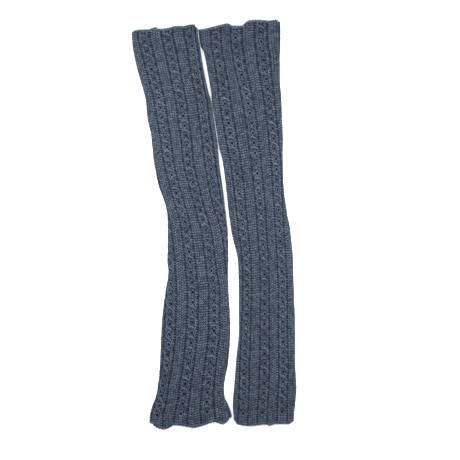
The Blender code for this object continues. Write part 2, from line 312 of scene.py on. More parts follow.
def pressed_in(creases, x, height):
    """How deep a layer is pressed in there by its creases, which are soft troughs."""
    pressed = np.zeros(len(x))
    for row in creases:
        crease = dict(zip(CREASE_COLUMNS, row))
        run_x = crease["x_to"] - crease["x_from"]
        run_y = crease["y_to"] - crease["y_from"]
        along = (x - crease["x_from"]) * run_x + (height - crease["y_from"]) * run_y
        along = np.clip(along / (run_x ** 2 + run_y ** 2), 0, 1)
        away = np.hypot(x - crease["x_from"] - along * run_x,
                        height - crease["y_from"] - along * run_y)
        dent = crease["depth"] * np.exp(-(away / crease["half_width"]) ** 2)
        pressed = np.maximum(pressed, dent)
    return pressed


def lift(leg, cut, x, height):
    """How far the front layer stands off the back there, less the creases pressed into it."""
    share = np.clip((x - cut["left"]) / (cut["right"] - cut["left"]), 0, 1)
    puffed = PUFF * np.sin(math.pi * share) - pressed_in(leg["creases"], x, height)
    return np.maximum(puffed, -FRONT_SINK)


def end_heights(leg, turn):
    """Where lines of stitches begin and end along +Y."""
    heights = []
    for end, row in (("foot_end", 0), ("thigh_end", -1)):
        start = leg["sections"][row][0]
        cut = section(leg, np.full(len(turn), float(start)))
        front, share = around(cut, turn)
        x, _, _, nz = tube_section(cut["left"], cut["right"], 0, LAID_HEIGHT, FOLD_REACH,
                                   front, share)
        columns = dict(zip(END_COLUMNS, zip(*leg[end])))
        inward = math.copysign(BACK_SHORTER, -start) * np.maximum(-nz, 0)
        heights.append(between(columns["x"], columns["reach"], x) + inward)
    return heights


def chart_length(leg):
    """Length of a leg's knitting chart in mm, which is stretched between its uneven ends."""
    return leg["sections"][-1][0] - leg["sections"][0][0]


def row_heights(leg, turn, up):
    """Heights along +Y of places on the chart, some mm up it."""
    foot, thigh = end_heights(leg, turn)
    columns = dict(zip(RISE_COLUMNS, zip(*leg["rises"])))
    rise = between(columns["along"], columns["rise"], up)
    return foot + (thigh - foot) * up / chart_length(leg) + rise


def outer_points(leg, across, up, depth, filled=0.0):
    """Points of the tube's outside in mm, from places on the chart, with nx and nz.

    across counts mm on the chart from cable 0, and depth is under the crown of a rib. At a
    side fold, filled pushes the points that many mm further out.
    """
    turn = across / REPEAT_WIDTH
    height = row_heights(leg, turn, up)
    cut = section(leg, height)
    front, share = around(cut, turn)
    x, z, nx, nz = tube_section(cut["left"], cut["right"], 0, LAID_HEIGHT, FOLD_REACH,
                                front, share)
    rest = np.where(nz > 0, 1.0, BACK_RELIEF) - FOLD_RELIEF
    depth = YARN_DEPTH + (depth - YARN_DEPTH) * (FOLD_RELIEF + rest * np.abs(nz))
    fullness = np.where(nx * leg["free_side"] > 0, FREE_FULLNESS, FOLD_FULLNESS)
    depth = depth - (fullness + filled) * (1 - np.abs(nz))
    x = x - depth * nx
    z = z - depth * nz + lift(leg, cut, x, height) * np.maximum(nz, 0)
    z = z + pressed_in(leg["back_creases"], x, height) * np.maximum(-nz, 0)
    return np.stack([x, height, z], axis=1), nx, nz


def inner_points(leg, across, up):
    """Points of the slit between the front and the back layer, in mm."""
    turn = across / REPEAT_WIDTH
    height = row_heights(leg, turn, up)
    cut = section(leg, height)
    front, share = around(cut, turn)
    x, z, _, nz = tube_section(cut["left"] + FOLD_WALL, cut["right"] - FOLD_WALL,
                               BACK_WALL, BACK_WALL + SLIT, SLIT / 2, front, share)
    z = z + lift(leg, cut, x, height) * np.maximum(nz, 0)
    return np.stack([x, height, z], axis=1)


def in_model(points):
    """Points of the tables' frame in mm, in the model's frame and in metres."""
    return (points - np.array([*OUTLINE_MIDDLE, 0.0])) * MM


def knitted_rows(leg):
    """How far up the chart each row lies, its number in its cell, and whether it is in one."""
    cell = (chart_length(leg) - FOOT_BAND - THIGH_BAND) / CELLS
    step = cell / ROWS_IN_CELL
    first_eyelet = FOOT_BAND + cell * EYELET_SHARE
    number = -int((first_eyelet - step / 2) / step)
    rows = []
    while first_eyelet + step * number < chart_length(leg) - step / 2:
        in_cables = 0 <= number < CELLS * ROWS_IN_CELL
        rows.append((first_eyelet + step * number, number % ROWS_IN_CELL, in_cables))
        number += 1
    return rows, step


def ground_rings(leg):
    """Heights of the ground's rings, each with how gathered by a wrap and how near an eyelet."""
    rows, step = knitted_rows(leg)
    rings = [(0.0, 0.0, 0.0), (rows[0][0] - step / 2, 0.0, 0.0)]
    for up, row, in_cables in rows:
        gather = GATHERED_AT_ROWS[row] if in_cables else GATHERED_IN_BANDS
        eyelet = 1.0 if row == 0 and in_cables else 0.0
        rings.append((up, gather, eyelet))
        gather = GATHERED_ABOVE_ROWS[row] if in_cables else GATHERED_IN_BANDS
        beside = row in (0, ROWS_IN_CELL - 1) and in_cables
        rings.append((up + step / 2, gather, PITTED_BESIDE_EYELET if beside else 0.0))
    rings.append((chart_length(leg), 0.0, 0.0))
    return rings


def bridge(low, high, outward):
    """Quads between two closed rings of point numbers."""
    after_low, after_high = np.roll(low, -1), np.roll(high, -1)
    quads = np.stack([low, after_low, after_high, high], axis=1)
    return quads if outward else quads[:, ::-1]


def knitted_tube(name, leg):
    """The ground of one tube, ribbed and pitted outside and plain inside, with painted shade."""
    table = {column: np.array(values) for column, values in
             zip(GROUND_COLUMNS, zip(*GROUND_POINTS))}
    columns = {column: np.tile(values, REPEATS_ROUND) for column, values in table.items()}
    repeat = np.repeat(np.arange(REPEATS_ROUND), len(GROUND_POINTS)) * REPEAT_WIDTH
    point = np.tile(np.arange(len(GROUND_POINTS)), REPEATS_ROUND)
    points, painted_shades, faces = [], [], []
    rings = ground_rings(leg)
    for number, (up, gather, eyelet) in enumerate(rings):
        place = columns["place"] + (columns["place_at_wrap"] - columns["place"]) * gather
        depth = columns["depth"] + EYELET_PIT * eyelet * (point == CABLE_MIDDLE_POINT)
        depth = depth + PIT_RIM * eyelet * np.isin(point, CABLE_INNER_POINTS)
        if number in (0, len(rings) - 1):
            depth = depth + EDGE_LIP
        ring, _, _ = outer_points(leg, repeat + place, np.full(len(point), up), depth,
                                  FOLD_FILLED)
        points.append(ring)
        # The eyelet pits get full painted shade.
        painted_pit_shade = eyelet * np.isin(point, (CABLE_MIDDLE_POINT, *CABLE_INNER_POINTS))
        painted_shades.append(np.maximum(columns["painted_shade"], painted_pit_shade))
    outer = np.arange(len(rings) * len(point)).reshape(len(rings), len(point))
    for low, high in zip(outer, outer[1:]):
        faces += bridge(low, high, outward=True).tolist()

    inner_across = (repeat + columns["place"])[::2]
    for number in range(INNER_ROWS + 1):
        up = np.full(len(inner_across), chart_length(leg) * number / INNER_ROWS)
        points.append(inner_points(leg, inner_across, up))
        painted_shades.append(np.full(len(inner_across), SLIT_PAINTED_SHADE))
    inner = outer.size + np.arange((INNER_ROWS + 1) * len(inner_across))
    inner = inner.reshape(INNER_ROWS + 1, len(inner_across))
    for low, high in zip(inner, inner[1:]):
        faces += bridge(low, high, outward=False).tolist()
    for outer_ring, inner_ring, upwards in ((outer[0], inner[0], False),
                                            (outer[-1], inner[-1], True)):
        for index, corner in enumerate(inner_ring):
            first, second = outer_ring[2 * index], outer_ring[2 * index + 1]
            third = outer_ring[(2 * index + 2) % len(outer_ring)]
            following = inner_ring[(index + 1) % len(inner_ring)]
            for face in ([first, corner, second], [second, corner, following, third]):
                faces.append([int(v) for v in (face[::-1] if upwards else face)])

    data = bpy.data.meshes.new(name)
    points = np.concatenate(points)
    points[:, 2] = np.maximum(points[:, 2], 0.0)
    data.from_pydata(in_model(points).tolist(), [], faces)
    # The painted shade goes on the points, for the wool's colour to darken by.
    data.attributes.new("painted_shade", "FLOAT", "POINT").data.foreach_set(
        "value", np.concatenate(painted_shades))
    data.shade_smooth()
    return add_to_scene(name, data)


def node(tree, kind, inputs=(), **settings):
    """A node with its settings. An input is a value, or the output that it is linked from."""
    made = tree.nodes.new(kind)
    for setting, value in settings.items():
        setattr(made, setting, value)
    for socket, value in dict(inputs).items():
        if isinstance(value, bpy.types.NodeSocket):
            tree.links.new(value, made.inputs[socket])
        else:
            made.inputs[socket].default_value = value
    return made


def new_group(name, kind, inputs, outputs):
    """An empty node group with named sockets, and its two end nodes."""
    group = bpy.data.node_groups.new(name, kind)
    for label, socket, value in inputs:
        made = group.interface.new_socket(label, in_out="INPUT", socket_type=socket)
        if value is not None:
            made.default_value = value
    for label, socket in outputs:
        group.interface.new_socket(label, in_out="OUTPUT", socket_type=socket)
    return group, group.nodes.new("NodeGroupInput"), group.nodes.new("NodeGroupOutput")


WOOL_DARK = (0.045, 0.058, 0.085, 1.0)
WOOL_LIGHT = (0.200, 0.256, 0.354, 1.0)
WOOL_PAINTED_SHADE = (0.008, 0.014, 0.024, 1.0)      # painted shade between the stitches
WOOL_ROUGHNESS = 0.95
WOOL_SPECULAR = 0.15
SHEEN_ROUGHNESS = 0.5
SHEEN_TINT = (0.75, 0.85, 1.0, 1.0)
BLUER_DYE = (0.84, 1.01, 1.06, 1.0)
BROWNER_DYE = (1.16, 0.99, 0.94, 1.0)
DYE_CLOUDS = {"Scale": 55.0, "Detail": 2.0, "Roughness": 0.5}       # noise, so many to a metre
TUFTS = {"Scale": 420.0, "Detail": 2.0, "Roughness": 0.6}
FIBRES = {"Scale": 1100.0, "Detail": 3.0, "Roughness": 0.75}
FIBRE_WEIGHT = 1.2       # how much each moves the colour between WOOL_DARK and WOOL_LIGHT
TUFT_WEIGHT = 1.8
# The ply's weight is painted shade: each ply lighter on its crest and darker in its groove.
PLY_SHADE_WEIGHT = 0.3
TONE_WEIGHT = 0.6
TONE_LEAST = 0.2
PLIES = 2                # in one yarn
PLY_LENGTH = 4.2         # mm of yarn in which one ply goes round once
PLY_HEIGHT = 0.8         # of a ply in the bump, where a fibre's height is 1
BUMP_STRENGTH = 0.8
BUMP_DISTANCE = 0.0004   # m
MIX_A, MIX_B = 6, 7      # the colour inputs of a Mix node, by number
MIX_RESULT = 2           # and its colour output


def heathered_wool_group():
    """Wool spun from fibres of several blues: its colour, and its height for a Bump node.

    The colour is darkened towards a shade colour by painted shade.
    """
    tree, given, result = new_group(
        "heathered_wool", "ShaderNodeTree",
        [("Dark Fibres", "NodeSocketColor", WOOL_DARK),
         ("Light Fibres", "NodeSocketColor", WOOL_LIGHT),
         ("Painted Shade Colour", "NodeSocketColor", WOOL_PAINTED_SHADE),
         ("Tone", "NodeSocketFloat", 0.5),
         ("Painted Shade", "NodeSocketFloat", 0.0),
         ("Ply", "NodeSocketFloat", 0.5)],
        [("Color", "NodeSocketColor"), ("Height", "NodeSocketFloat")])
    place = node(tree, "ShaderNodeTexCoord").outputs["Object"]
    share = node(tree, "ShaderNodeMath", {
        0: given.outputs["Tone"], 1: TONE_WEIGHT, 2: TONE_LEAST},
        operation="MULTIPLY_ADD").outputs["Value"]
    fibres = node(tree, "ShaderNodeTexNoise", {"Vector": place, **FIBRES}).outputs["Fac"]
    tufts = node(tree, "ShaderNodeTexNoise", {"Vector": place, **TUFTS}).outputs["Fac"]
    # Fibres and tufts are the wool's own flecks; the ply adds painted shade along its twist.
    for flecks, weight in ((fibres, FIBRE_WEIGHT), (tufts, TUFT_WEIGHT),
                           (given.outputs["Ply"], PLY_SHADE_WEIGHT)):
        spread = node(tree, "ShaderNodeMath", {0: flecks, 1: 0.5}, operation="SUBTRACT")
        share = node(tree, "ShaderNodeMath", {
            0: spread.outputs["Value"], 1: weight, 2: share},
            operation="MULTIPLY_ADD").outputs["Value"]
    settled = node(tree, "ShaderNodeClamp", {"Value": share})
    fibre_colour = node(tree, "ShaderNodeMix", {
        0: settled.outputs["Result"], MIX_A: given.outputs["Dark Fibres"],
        MIX_B: given.outputs["Light Fibres"]}, data_type="RGBA")
    dye = node(tree, "ShaderNodeTexNoise", {"Vector": place, **DYE_CLOUDS})
    cast = node(tree, "ShaderNodeMix", {
        0: dye.outputs["Fac"], MIX_A: BLUER_DYE, MIX_B: BROWNER_DYE}, data_type="RGBA")
    dyed = node(tree, "ShaderNodeMix", {
        0: 1.0, MIX_A: fibre_colour.outputs[MIX_RESULT], MIX_B: cast.outputs[MIX_RESULT]},
        data_type="RGBA", blend_type="MULTIPLY")
    # Painted shade: the colour goes towards the shade colour as far as Hollow says.
    painted_shade_mix = node(tree, "ShaderNodeMix", {
        0: given.outputs["Painted Shade"], MIX_A: dyed.outputs[MIX_RESULT],
        MIX_B: given.outputs["Painted Shade Colour"]}, data_type="RGBA")
    height = node(tree, "ShaderNodeMath", {
        0: given.outputs["Ply"], 1: PLY_HEIGHT, 2: fibres}, operation="MULTIPLY_ADD")
    tree.links.new(painted_shade_mix.outputs[MIX_RESULT], result.inputs["Color"])
    tree.links.new(height.outputs["Value"], result.inputs["Height"])
    return tree


heathered_wool = heathered_wool_group()


def wool(name, plied, sheen):
    """Heathered wool, darkened by the painted shade in the piece's own attribute.

    Where the piece is spun yarn, its plies turn along the yarn's own map.
    """
    made = bpy.data.materials.new(name)
    made.use_nodes = True
    tree = made.node_tree
    shader = tree.nodes["Principled BSDF"]
    # Painted shade, read from the piece's attribute.
    painted_shade = node(tree, "ShaderNodeAttribute", attribute_name="painted_shade").outputs["Fac"]
    group = node(tree, "ShaderNodeGroup", node_tree=heathered_wool)
    group.inputs["Dark Fibres"].default_value = WOOL_DARK
    group.inputs["Light Fibres"].default_value = WOOL_LIGHT
    group.inputs["Painted Shade Colour"].default_value = WOOL_PAINTED_SHADE
    tree.links.new(painted_shade, group.inputs["Painted Shade"])
    if plied:
        tone = node(tree, "ShaderNodeAttribute", attribute_name="tone").outputs["Fac"]
        tree.links.new(tone, group.inputs["Tone"])
        yarn = node(tree, "ShaderNodeSeparateXYZ", {
            0: node(tree, "ShaderNodeUVMap", uv_map="yarn").outputs["UV"]})
        run = node(tree, "ShaderNodeMath", {
            0: yarn.outputs["Y"], 1: 1.0 / PLY_LENGTH, 2: yarn.outputs["X"]},
            operation="MULTIPLY_ADD")
        turn = node(tree, "ShaderNodeMath", {
            0: run.outputs["Value"], 1: 2 * math.pi * PLIES}, operation="MULTIPLY")
        wave = node(tree, "ShaderNodeMath", {0: turn.outputs["Value"]}, operation="SINE")
        ply = node(tree, "ShaderNodeMath", {
            0: wave.outputs["Value"], 1: 0.5, 2: 0.5}, operation="MULTIPLY_ADD")
        tree.links.new(ply.outputs["Value"], group.inputs["Ply"])
    bump = node(tree, "ShaderNodeBump", {
        "Strength": BUMP_STRENGTH, "Distance": BUMP_DISTANCE, "Height": group.outputs["Height"]})
    tree.links.new(group.outputs["Color"], shader.inputs["Base Color"])
    tree.links.new(bump.outputs["Normal"], shader.inputs["Normal"])
    shader.inputs["Roughness"].default_value = WOOL_ROUGHNESS
    shader.inputs["Specular IOR Level"].default_value = WOOL_SPECULAR
    shader.inputs["Sheen Weight"].default_value = sheen
    shader.inputs["Sheen Roughness"].default_value = SHEEN_ROUGHNESS
    shader.inputs["Sheen Tint"].default_value = SHEEN_TINT
    return made


ground_wool = wool("ground_wool", plied=False, sheen=0.0)
cloth_left = knitted_tube("cloth_left", LEFT_LEG)
cloth_left.data.materials.append(ground_wool)
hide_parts("leg_warmer_left")
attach(cloth_left, "root")

# The cloth of the right leg warmer: knitted from the same chart, but it lies straighter, with
# its thigh end pulled towards the other one. Two of its creases run across it, low down.
RIGHT_SECTIONS = (
    (-314, 32.4, 128.0, 16, 47, 78, 110),
    (-292, 30.8, 130.0, 16, 48, 79, 110),
    (-263, 32.8, 132.0, 18, 49, 81, 111),
    (-225, 35.7, 130.2, 19, 50, 82, 112),
    (-167, 40.8, 129.9, 22, 52, 82, 111),
    (-110, 40.5, 128.2, 25, 54, 82, 111),
    (-61, 39.0, 126.7, 25, 53, 81, 109),
    (-14, 28.8, 122.6, 18, 48, 78, 106),
    (25, 23.4, 115.7, 13, 44, 76, 104),
    (63, 19.5, 111.2, 8, 40, 72, 102),
    (102, 13.9, 110.1, 2, 35, 68, 100),
    (127, 7.6, 110.2, -4, 30, 65, 97),
    (140, 5.9, 110.3, -7, 28, 64, 96),
    (168, 1.5, 109.2, -12, 23, 60, 93),
    (198, -3.0, 107.7, -17, 18, 55, 89),
    (207, -3.4, 107.2, -18, 17, 53, 88),
    (227, -6.9, 105.6, -20, 15, 48, 85),
    (256, -12.0, 105.4, -23, 10, 40, 81),
    (275, -16.2, 106.0, -25, 6, 38, 79),
    (284, -20.9, 106.2, -27, 5, 36, 77),
    (304, -23.9, 106.4, -30, 4, 35, 76),
)
RIGHT_RISES = (
    (0, 0), (172, 0), (264, 0.8), (325, 2.4), (386, 3.9), (447, 5.6), (524, 4.5), (600, 0),
    (618, 0),
)
RIGHT_THIGH_END = (
    (-24, 309.5), (-12, 311.5), (12, 317.5), (23, 319.5), (31, 315.5), (45, 315.5),
    (54, 323.5), (62, 325), (75, 325), (90, 323.5), (101, 325.5), (106, 322.5),
)
RIGHT_FOOT_END = (
    (32, -313), (37, -320.5), (58, -323.5), (84, -321), (90, -323), (100, -320),
    (123, -320.5), (129, -315),
)
RIGHT_CREASES = (
    (45, -168, 124, -170, 10, 1.4),
    (14, 176, 20, 118, 9, 1.4),
    (28, 304, 31, 262, 8, 1.4),
    (66, 92, 92, 58, 13, 1.2),
    (56, -30, 74, -84, 10, 0.8),
    (42, -222, 110, -228, 10, 0.8),
)
RIGHT_BACK_CREASES = (
    (20, 150, 66, 132, 10, 0.6),
    (60, 20, 104, -8, 11, 0.6),
    (52, -176, 60, -246, 8, 0.7),
)
RIGHT_LEG = {
    "sections": RIGHT_SECTIONS, "rises": RIGHT_RISES, "free_side": 1,
    "creases": RIGHT_CREASES, "back_creases": RIGHT_BACK_CREASES,
    "thigh_end": RIGHT_THIGH_END, "foot_end": RIGHT_FOOT_END,
}
cloth_right = knitted_tube("cloth_right", RIGHT_LEG)
cloth_right.data.materials.append(ground_wool)
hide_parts("leg_warmer_right")
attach(cloth_right, "root")

# The ribs: four wales of knit stitches side by side, whose loops show as columns of small
# V shapes. Each V is two legs of plied worsted yarn, and the next V is drawn up through it.
SIDES = 4                # of a run of yarn
RIB_MIDDLE = REPEAT_WIDTH / 2
RIB_WALES = (            # mm aside, mm deep, degrees leaning, and mm higher as the rows slant
    (-5.3, 1.5, -14, -0.8),
    (-1.8, 1.2, -3, -0.3),
    (1.8, 1.2, 3, 0.3),
    (5.3, 1.5, 14, 0.8),
)
RIB_STITCH_WIDE = 0.9    # share of a stitch's width
KNIT_LEG = (             # the right leg of a V: mm across, up and out, and the yarn's radius
    (0.22, -2.4, -0.9, 0.0),
    (0.35, -1.55, -0.05, 0.53),
    (0.78, -0.33, 0.35, 0.68),
    (1.29, 0.76, 0.20, 0.67),
    (1.43, 1.60, -0.9, 0.0),
)
CROWN = 0.5              # mm out, above which the yarn gets no painted shade
SINK = 1.4               # mm from there in, where its painted shade has grown to SHADED
SHADED = 0.85
SIDE_SHADED = 0.7        # and painted shade at a side fold's outermost line, turned to the table
BACK_THICKNESS = 0.6     # share of its thickness that the yarn keeps on the pressed underside
UNEVEN_SIZE = 0.07       # share of its size that a stitch may be larger or smaller
UNEVEN_TURN = 0.08       # radians that it may be turned about each axis
SWAY_DRAW = 10           # what each random value adds to the piece's own seed
SWELL_DRAW = 20
TONE_DRAW = 30
STITCH_SHEEN = 0.08


def yarn_runs(name, runs):
    """A mesh of runs of yarn. A run is rings round its points, closed at its first and last."""
    points, faces, map_places = [], [], []
    for run in runs:
        run = np.array(run, dtype=float)
        path, radii = run[:, :3], run[:, 3]
        way = np.gradient(path, axis=0)
        way /= np.linalg.norm(way, axis=1)[:, None]
        length = np.concatenate([[0], np.cumsum(np.linalg.norm(np.diff(path, axis=0), axis=1))])
        base = len(points)
        points.append(path[0])
        for spot, ahead, radius in zip(path[1:-1], way[1:-1], radii[1:-1]):
            beside = np.cross(ahead, (0.0, 0.0, 1.0))
            beside /= np.linalg.norm(beside)
            above = np.cross(beside, ahead)
            for side in range(SIDES):
                turn = 2 * math.pi * side / SIDES
                points.append(spot + radius * (math.cos(turn) * beside + math.sin(turn) * above))
        points.append(path[-1])
        tip = len(points) - 1
        rings = len(path) - 2
        for side in range(SIDES):
            after = (side + 1) % SIDES
            here, there = side / SIDES, (side + 1) / SIDES
            faces.append((base, base + 1 + after, base + 1 + side))
            map_places += [(here, length[0]), (there, length[1]), (here, length[1])]
            for ring in range(rings - 1):
                low, high = base + 1 + ring * SIDES, base + 1 + (ring + 1) * SIDES
                faces.append((low + side, low + after, high + after, high + side))
                below, above = length[ring + 1], length[ring + 2]
                map_places += [(here, below), (there, below), (there, above), (here, above)]
            last = base + 1 + (rings - 1) * SIDES
            faces.append((last + side, last + after, tip))
            map_places += [(here, length[-2]), (there, length[-2]), (here, length[-1])]
    data = bpy.data.meshes.new(name)
    data.from_pydata(np.array(points).tolist(), [], faces)
    data.uv_layers.new(name="yarn").data.foreach_set("uv", np.array(map_places).ravel())
    data.shade_smooth()
    return bpy.data.objects.new(name, data)


def mirrored(run):
    """The left leg of a V, from its right one."""
    return [(-across, up, out, radius) for across, up, out, radius in run]


def knitting_tree():
    """Sets a stitch on every place of a chart, each a little uneven, with a tone of its own."""
    tree, given, result = new_group(
        "knitting", "GeometryNodeTree",
        [("Places", "NodeSocketGeometry", None),
         ("Stitch", "NodeSocketObject", None),
         ("Wool", "NodeSocketMaterial", None),
         ("Uneven Size", "NodeSocketFloat", UNEVEN_SIZE),
         ("Uneven Turn", "NodeSocketFloat", UNEVEN_TURN),
         ("Seed", "NodeSocketInt", 1)],
        [("Knitting", "NodeSocketGeometry")])

    def places_own(name):
        """What the chart says of each place by that name."""
        return node(tree, "GeometryNodeInputNamedAttribute", {"Name": name},
                    data_type="FLOAT_VECTOR").outputs["Attribute"]

    def random(low, high, kind, draw):
        """A random value for each place. slots are its two inputs and its output, by number."""
        seed = node(tree, "ShaderNodeMath", {0: given.outputs["Seed"], 1: draw},
                    operation="ADD")
        slots = {"FLOAT_VECTOR": (0, 1, 0), "FLOAT": (2, 3, 1)}[kind]
        made = node(tree, "FunctionNodeRandomValue", {
            slots[0]: low, slots[1]: high, "Seed": seed.outputs["Value"]}, data_type=kind)
        return made.outputs[slots[2]]

    sway = node(tree, "ShaderNodeVectorMath", {
        0: random((-1, -1, -1), (1, 1, 1), "FLOAT_VECTOR", SWAY_DRAW),
        "Scale": given.outputs["Uneven Turn"]}, operation="SCALE")
    turned = node(tree, "FunctionNodeEulerToRotation", {"Euler": places_own("turned")})
    swayed = node(tree, "FunctionNodeRotateRotation", {
        "Rotation": turned.outputs["Rotation"],
        "Rotate By": node(tree, "FunctionNodeEulerToRotation", {
            "Euler": sway.outputs["Vector"]}).outputs["Rotation"]},
        rotation_space="LOCAL")
    swell = node(tree, "ShaderNodeVectorMath", {
        0: random((-1, -1, -1), (1, 1, 1), "FLOAT_VECTOR", SWELL_DRAW),
        "Scale": given.outputs["Uneven Size"]}, operation="SCALE")
    swelled = node(tree, "ShaderNodeVectorMath", {
        0: swell.outputs["Vector"], 1: (1.0, 1.0, 1.0)}, operation="ADD")
    sized = node(tree, "ShaderNodeVectorMath", {
        0: swelled.outputs["Vector"], 1: places_own("size")}, operation="MULTIPLY")
    stitch = node(tree, "GeometryNodeObjectInfo", {"Object": given.outputs["Stitch"]})
    placed = node(tree, "GeometryNodeInstanceOnPoints", {
        "Points": given.outputs["Places"], "Instance": stitch.outputs["Geometry"],
        "Rotation": swayed.outputs["Rotation"], "Scale": sized.outputs["Vector"]})
    toned = node(tree, "GeometryNodeStoreNamedAttribute", {
        "Geometry": placed.outputs["Instances"], "Name": "tone",
        "Value": random(0.0, 1.0, "FLOAT", TONE_DRAW)}, data_type="FLOAT", domain="INSTANCE")
    real = node(tree, "GeometryNodeRealizeInstances", {"Geometry": toned.outputs["Geometry"]})
    coated = node(tree, "GeometryNodeSetMaterial", {
        "Geometry": real.outputs["Geometry"], "Material": given.outputs["Wool"]})
    tree.links.new(coated.outputs["Geometry"], result.inputs["Knitting"])
    return tree


knitting = knitting_tree()
stitch_wool = wool("stitch_wool", plied=True, sheen=STITCH_SHEEN)
PLACE_COLUMNS = ("across", "up", "depth", "lean", "turn", "wide", "tall", "painted_shade")


def place_of(across, up, depth, lean=0.0, turn=0.0, wide=1.0, tall=1.0, painted_shade=0.0):
    """A stitch's place: mm on the chart, its yarn's depth, degrees, shares of its size, painted
    shade.
    """
    return (across, up, depth, lean, turn, wide, tall, painted_shade)


def chart_of(places):
    """A mesh whose points are places of stitches on the flat chart, in mm."""
    place = dict(zip(PLACE_COLUMNS, np.array(places, dtype=float).T))
    none = np.zeros(len(places))
    data = bpy.data.meshes.new("chart")
    data.from_pydata(np.stack([place["across"], place["up"], none], axis=1).tolist(), [], [])
    turned = np.stack([none, np.radians(place["lean"]), np.radians(place["turn"])], axis=1)
    size = np.stack([place["wide"], place["tall"], none + 1.0], axis=1)
    for name, values in (("turned", turned), ("size", size)):
        data.attributes.new(name, "FLOAT_VECTOR", "POINT").data.foreach_set(
            "vector", values.ravel())
    for name in ("depth", "painted_shade"):
        data.attributes.new(name, "FLOAT", "POINT").data.foreach_set("value", place[name])
    return data


def values_of(data, name):
    """A mesh's values by that name, one for each of its points."""
    values = np.empty(len(data.vertices), dtype=np.float32)
    data.attributes[name].data.foreach_get("value", values)
    return values.astype(float)


def knit(name, leg, places, stitch, seed, uneven_size=UNEVEN_SIZE, uneven_turn=UNEVEN_TURN):
    """Stitches on a flat chart, laid onto the tube as one plain mesh, with painted shade."""
    chart = add_to_scene(name + "_chart", chart_of(places))
    modifier = chart.modifiers.new("knitting", "NODES")
    modifier.node_group = knitting
    sockets = {item.name: item.identifier for item in knitting.interface.items_tree
               if item.item_type == "SOCKET" and item.in_out == "INPUT"}
    values = {"Stitch": stitch, "Wool": stitch_wool, "Seed": seed,
              "Uneven Size": uneven_size, "Uneven Turn": uneven_turn}
    for label, value in values.items():
        modifier[sockets[label]] = value
    graph = bpy.context.evaluated_depsgraph_get()
    data = bpy.data.meshes.new_from_object(chart.evaluated_get(graph))
    chart.modifiers.remove(modifier)
    bpy.data.objects.remove(chart)

    flat = np.empty(len(data.vertices) * 3, dtype=np.float32)
    data.vertices.foreach_get("co", flat)
    across, up, out = flat.reshape(-1, 3).astype(float).T
    points, nx, nz = outer_points(leg, across, up, values_of(data, "depth"))
    out_there = out * np.where(nz < 0, 1.0 + (1.0 - BACK_THICKNESS) * nz, 1.0)
    points[:, 0] += out_there * nx
    points[:, 2] = np.maximum(points[:, 2] + out_there * nz, 0.0)
    # Painted shade on yarn that lies deeper than CROWN or turns down a side fold.
    shade = SHADED * np.clip((CROWN - out) / SINK, 0, 1)
    lit = (1.0 - shade) * (1.0 - SIDE_SHADED * (1.0 - np.abs(nz)) ** 2)
    painted_shade = 1.0 - (1.0 - values_of(data, "painted_shade")) * lit
    data.vertices.foreach_set("co", in_model(points).ravel())
    data.attributes["painted_shade"].data.foreach_set("value", painted_shade)
    for attribute in ("turned", "size", "depth"):
        data.attributes.remove(data.attributes[attribute])
    data.name = name
    data.update()
    made = add_to_scene(name, data)
    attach(made, "root")
    return made


def rib_places(leg):
    """Places of the knit stitches of all ribs, wale by wale."""
    rows, _ = knitted_rows(leg)
    return [place_of(repeat * REPEAT_WIDTH + RIB_MIDDLE + aside, up + higher, depth, lean,
                     wide=RIB_STITCH_WIDE)
            for repeat in range(REPEATS_ROUND)
            for aside, depth, lean, higher in RIB_WALES
            for up, _, _ in rows]


knit_stitch = yarn_runs("knit_stitch", [KNIT_LEG, mirrored(KNIT_LEG)])
ribs_left = knit("ribs_left", LEFT_LEG, rib_places(LEFT_LEG), knit_stitch, seed=11)
ribs_right = knit("ribs_right", RIGHT_LEG, rib_places(RIGHT_LEG), knit_stitch, seed=12)

# The purl troughs: one wale of purl stitches on either side of a rib, sunk between it and
# the cable. Of a purl stitch only the head of its loop shows, as a short bar across.
PURL_SIDES = (-1, 1)        # of a cable
PURL_ASIDE = 8.8            # mm from the cable's middle
PURL_DRAWN = (0.0, 0.3, 0.9, 0.4)       # mm that each row of a cell is drawn to that middle
PURL_PAINTED_SHADE = (0.44, 0.52, 0.72, 0.56)  # and how much painted shade that row gets
PURL_WANDER = 0.4           # mm, how far a bar may lie beside its line
PURL_DEPTH = 2.6
PURL_UNEVEN_SIZE = 0.16
PURL_UNEVEN_TURN = 0.1
PURL_BAR = (                # in the columns of KNIT_LEG
    (-1.6, -0.9, -0.7, 0.0),
    (-0.6, 0.1, 0.1, 0.9),
    (0.6, 0.1, 0.1, 0.9),
    (1.6, -0.9, -0.7, 0.0),
)


def purl_places(leg, seed):
    """Places of the bars in all troughs, which wander a little."""
    rows, _ = knitted_rows(leg)
    chance = np.random.default_rng(seed)
    places = []
    for repeat in range(REPEATS_ROUND):
        for side in PURL_SIDES:
            for up, row, _ in rows:
                aside = PURL_ASIDE - PURL_DRAWN[row] + chance.uniform(-PURL_WANDER, PURL_WANDER)
                places.append(place_of(repeat * REPEAT_WIDTH + side * aside, up, PURL_DEPTH,
                                       painted_shade=PURL_PAINTED_SHADE[row]))
    return places


purl_stitch = yarn_runs("purl_stitch", [PURL_BAR])
troughs_left = knit("troughs_left", LEFT_LEG, purl_places(LEFT_LEG, seed=23), purl_stitch,
                    seed=21, uneven_size=PURL_UNEVEN_SIZE, uneven_turn=PURL_UNEVEN_TURN)
troughs_right = knit("troughs_right", RIGHT_LEG, purl_places(RIGHT_LEG, seed=24), purl_stitch,
                     seed=22, uneven_size=PURL_UNEVEN_SIZE, uneven_turn=PURL_UNEVEN_TURN)

